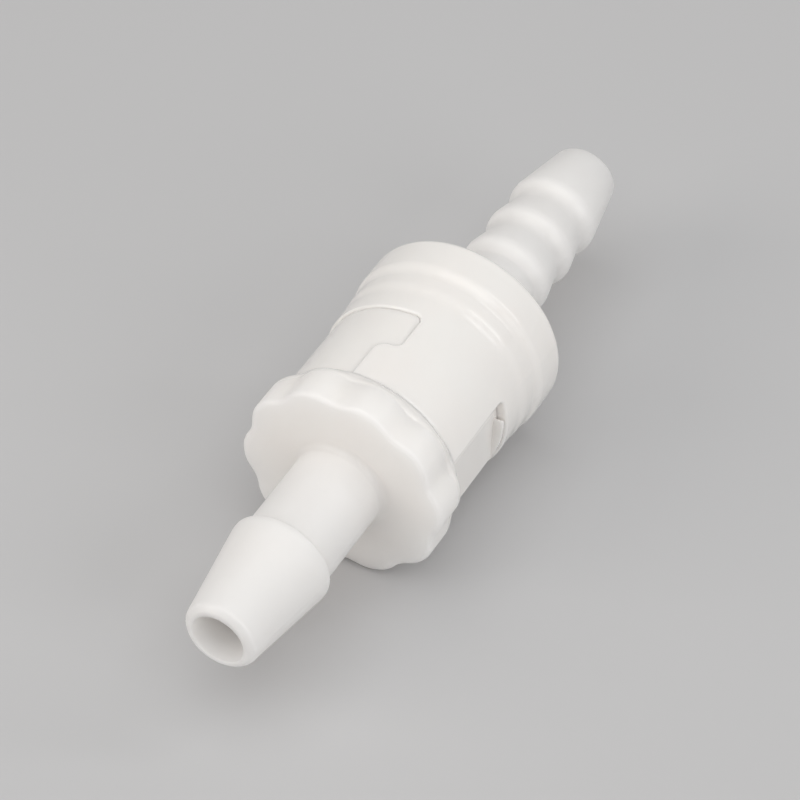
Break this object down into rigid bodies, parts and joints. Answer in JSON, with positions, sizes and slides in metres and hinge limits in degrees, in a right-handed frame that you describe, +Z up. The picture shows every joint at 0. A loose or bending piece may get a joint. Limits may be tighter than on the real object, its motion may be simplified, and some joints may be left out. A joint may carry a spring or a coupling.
{
  "type": "check valve",
  "caption": "Inline plastic check valve: a barbed hose tail at each end, a scalloped grip flange on a bayonet cap, and a sprung poppet that lets flow through one way.",
  "frame": {"origin": "centre of the valve's box, on the flow axis", "axes": "+X along the flow, from the inlet's tip to the outlet's tip; +Z up as the valve lies in the picture"},
  "size_m": [0.0548, 0.016, 0.0158],
  "materials": {
    "inlet_cap": "natural white moulded plastic, semi-gloss, slightly translucent",
    "outlet_body": "natural white moulded plastic, semi-gloss, slightly translucent",
    "body_seal": "black O-ring rubber, satin",
    "poppet": "natural moulded plastic, satin",
    "poppet_seal": "black O-ring rubber, satin",
    "return_spring": "drawn stainless wire",
    "spring_guide": "natural moulded plastic, satin"
  },
  "bodies": {
    "body": {"outlet_body": "outlet_body", "spring_guide": "spring_guide", "return_spring": "return_spring"},
    "cap": {"inlet_cap": "inlet_cap", "body_seal": "body_seal"},
    "poppet": {"poppet": "poppet", "poppet_seal": "poppet_seal"}
  },
  "joints": [
    {"name": "cap_twist", "type": "hinge", "parent": "body", "child": "cap", "pos_m": [0, 0, 0], "axis": [1, 0, 0], "range_deg": [-13, 0]},
    {"name": "poppet_slide", "type": "slide", "parent": "body", "child": "poppet", "axis": [1, 0, 0], "range_m": [0, 0.002], "stiffness_N_per_m": 60, "springref_m": -0.0015, "deforming": ["return_spring"]}
  ]
}
